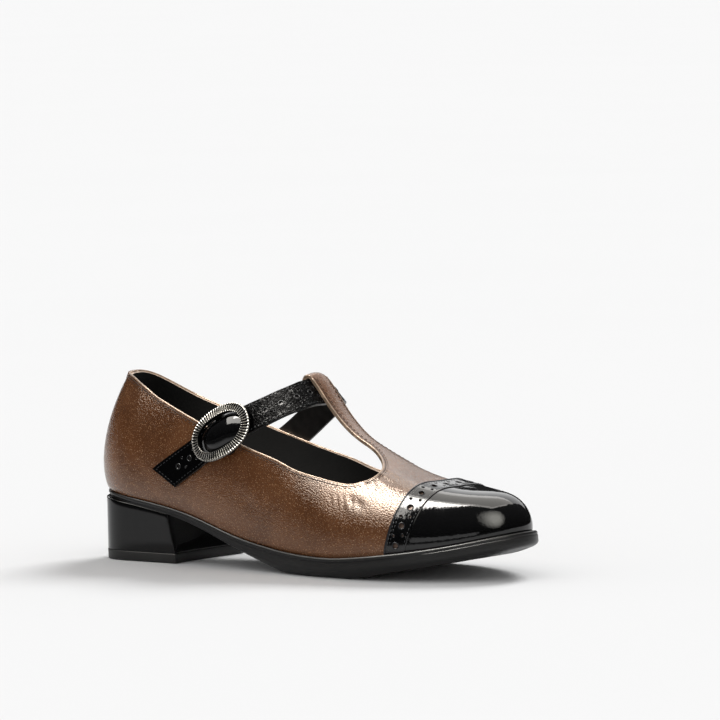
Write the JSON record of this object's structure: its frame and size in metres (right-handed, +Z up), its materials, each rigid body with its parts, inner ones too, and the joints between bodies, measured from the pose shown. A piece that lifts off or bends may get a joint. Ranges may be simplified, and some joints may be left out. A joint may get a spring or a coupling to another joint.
{
  "type": "t-bar shoe with block heel",
  "caption": "Woman's right T-bar shoe with a block heel, black toe cap with a punched band, and a strap through an oval buckle.",
  "frame": {"origin": "on the floor, under the middle of the shoe's bounding box", "axes": "+X from heel to toe, +Y towards the inner side of the foot, +Z up from the floor"},
  "size_m": [0.247, 0.088, 0.0935],
  "materials": {
    "brown_patent": "pearly patent leather with a fine grain",
    "black_patent": "black patent leather",
    "sole_rubber": "satin black",
    "heel_gloss": "gloss black",
    "lining": "matt black",
    "old_silver": "antique silver"
  },
  "bodies": {
    "root": {"upper": "brown_patent", "toe_cap": "black_patent", "punched_band": "black_patent", "heel_tab": "brown_patent", "strap": "black_patent", "buckle": "old_silver", "insole": "lining", "outsole": "sole_rubber", "heel": "heel_gloss", "top_piece": "sole_rubber"}
  },
  "joints": []
}
